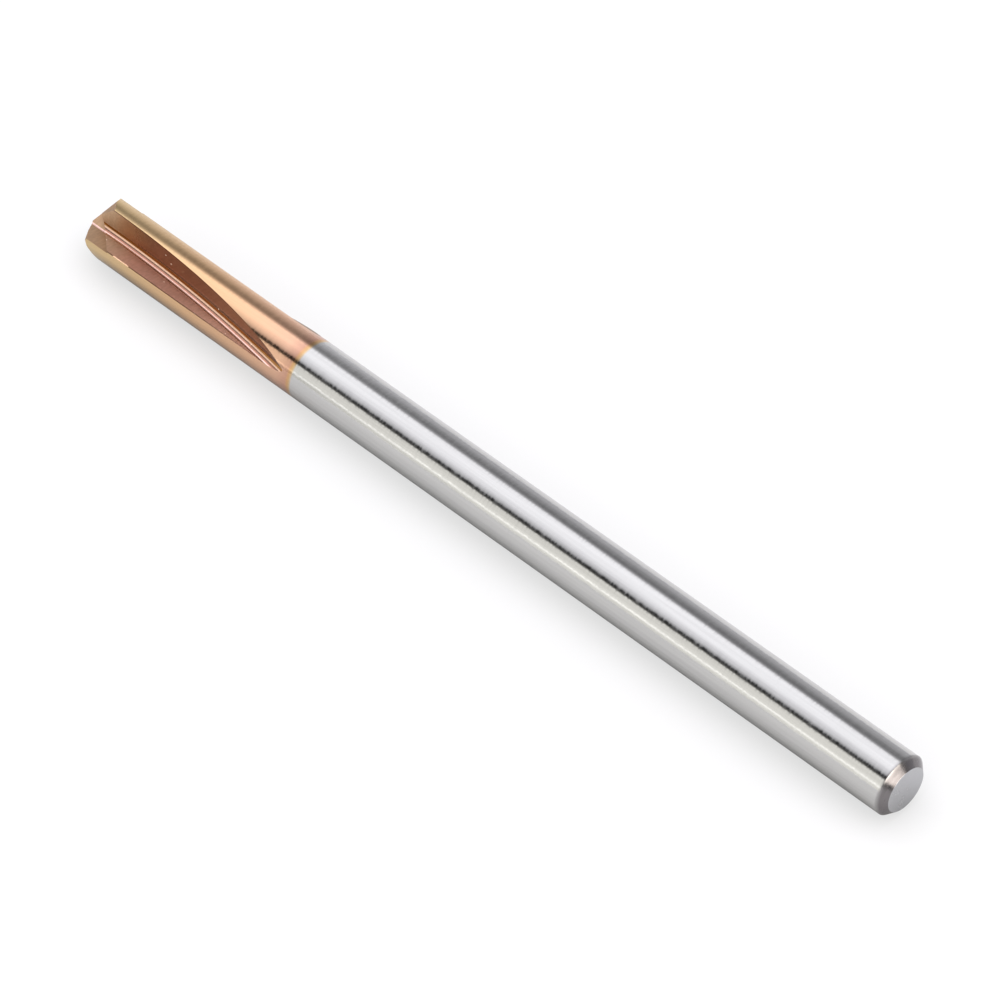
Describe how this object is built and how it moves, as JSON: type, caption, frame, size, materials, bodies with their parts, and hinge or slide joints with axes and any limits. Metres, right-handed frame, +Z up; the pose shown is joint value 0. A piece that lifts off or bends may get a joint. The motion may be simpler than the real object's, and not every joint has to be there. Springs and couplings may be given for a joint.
{
  "type": "chamfer mill",
  "caption": "Small solid carbide chamfer mill: a plain round shank with a bronze-coated head that has straight flutes and a blunt lipped point.",
  "frame": {"origin": "centre of the shank's flat end face", "axes": "+X along the tool's axis from the shank's end to the point, +Z up as the tool lies on its side, the tool's lowest line at Z = -1.5 mm"},
  "size_m": [0.05, 0.003, 0.003],
  "materials": {
    "carbide": "bright cylindrically ground cemented carbide, bronze coated over the head"
  },
  "bodies": {
    "root": {"chamfer_mill": "carbide"}
  },
  "joints": []
}
